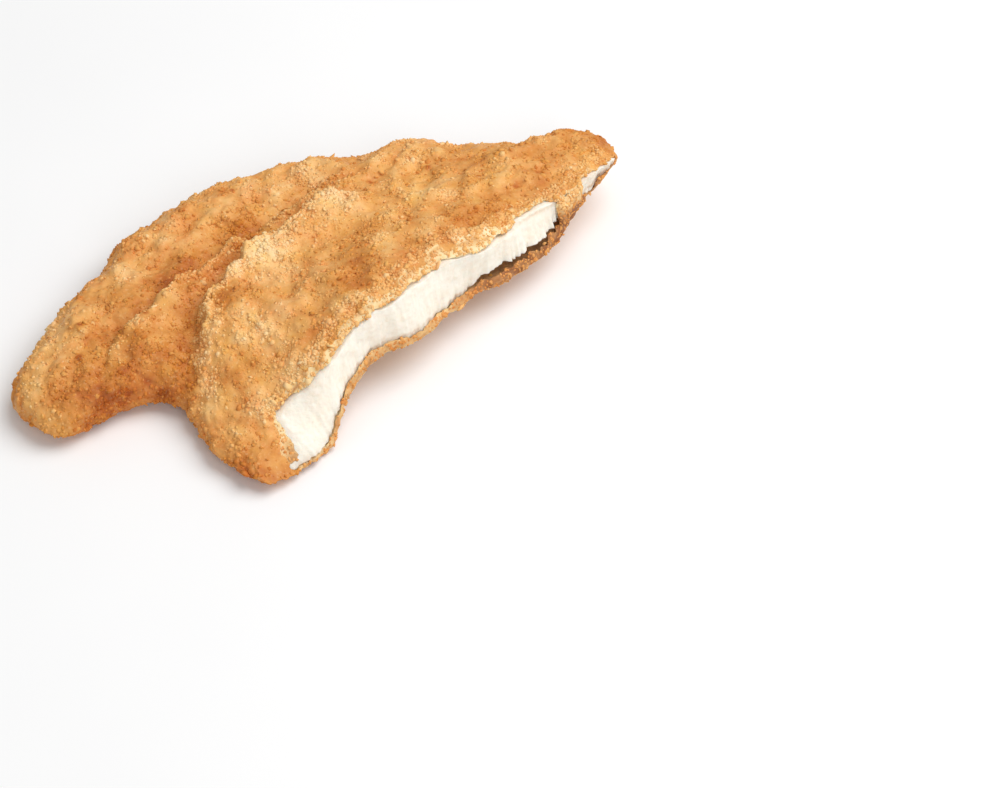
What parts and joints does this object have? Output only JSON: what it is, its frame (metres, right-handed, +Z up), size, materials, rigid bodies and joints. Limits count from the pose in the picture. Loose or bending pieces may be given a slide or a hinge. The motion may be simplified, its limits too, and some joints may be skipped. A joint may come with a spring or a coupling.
{
  "type": "breaded chicken schnitzel, cut",
  "caption": "Cut piece of fried, breadcrumbed chicken schnitzel: white fillet inside a golden crumb coating that is open along the cut; lies flat on a plate or table.",
  "frame": {"origin": "on the plane it rests on, under the middle of the bounding box", "axes": "+X along the length from the left lobe towards the far tip, +Y away from the cut's near end, +Z up out of the browned top"},
  "size_m": [0.1322, 0.1048, 0.0229],
  "materials": {
    "crumb_crust": "rough golden-brown fried breadcrumbs, slightly oily",
    "white_meat": "moist fibrous cooked white poultry meat"
  },
  "bodies": {
    "root": {"coating": "crumb_crust", "meat": "white_meat"}
  },
  "joints": []
}
